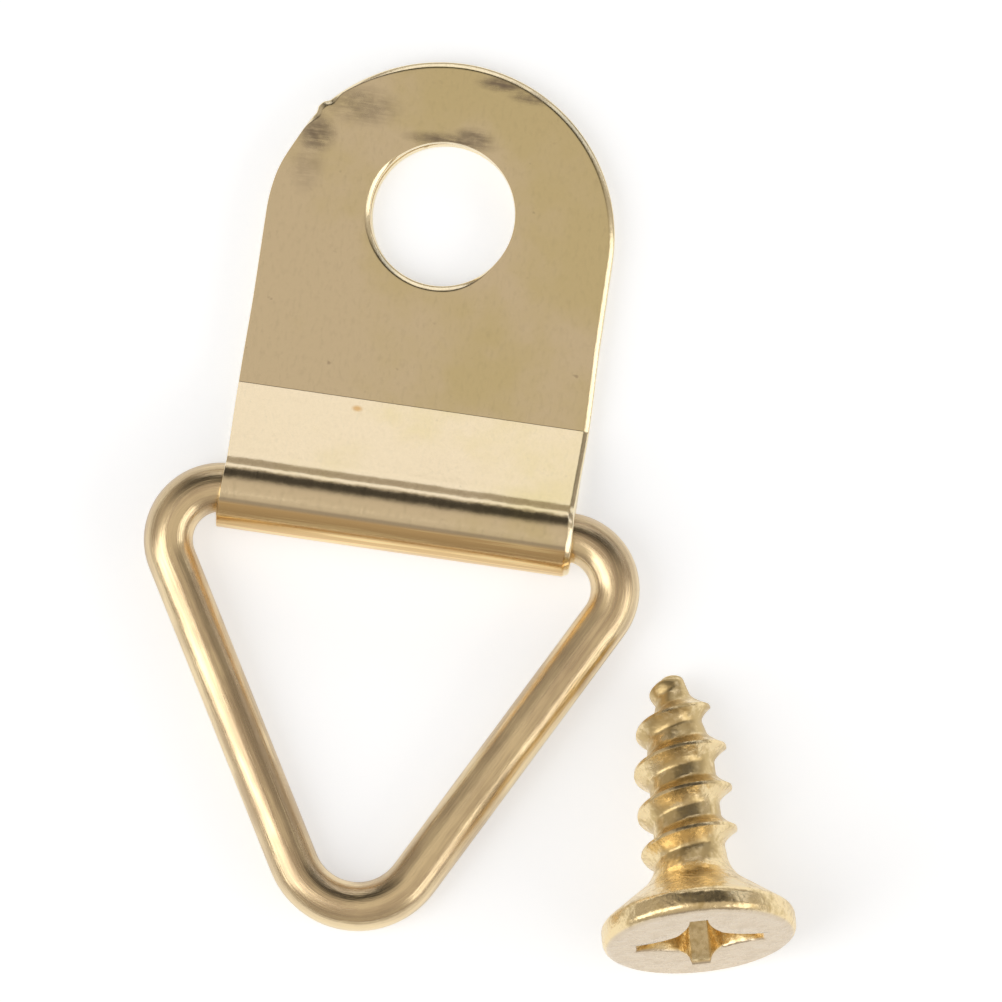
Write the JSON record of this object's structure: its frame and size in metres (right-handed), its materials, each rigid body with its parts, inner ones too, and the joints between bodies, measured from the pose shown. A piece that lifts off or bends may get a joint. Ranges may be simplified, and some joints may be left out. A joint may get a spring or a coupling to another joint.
{
  "type": "triangle picture hanger",
  "caption": "Folded brass-finish strap with one screw hole, a wire triangle swinging in its roll, and a loose countersunk screw.",
  "frame": {"origin": "centre of the screw hole, on the back face that lies on the wall, frame or table", "axes": "+Y from the hole towards the triangle, +Z out of the surface the back face lies on, +X to the right seen from the front"},
  "size_m": [0.0214, 0.0268, 0.0058],
  "materials": {
    "strap_brass": "pale brass plate on rolled sheet, satin with fine grain",
    "wire_brass": "brass plate on drawn wire, polished",
    "screw_brass": "warmer brass plate, polished"
  },
  "bodies": {
    "strap": {"strap": "strap_brass"},
    "ring": {"triangle_ring": "wire_brass"},
    "screw": {"screw": "screw_brass"}
  },
  "joints": [
    {"name": "ring_swing", "type": "hinge", "parent": "strap", "child": "ring", "pos_m": [0, 0.0093, 0.00123], "axis": [1, 0, 0], "range_deg": [0, 176]},
    {"name": "screw_lift", "type": "slide", "parent": "strap", "child": "screw", "axis": [0, 0, 1], "range_m": [0, 0.012]}
  ]
}
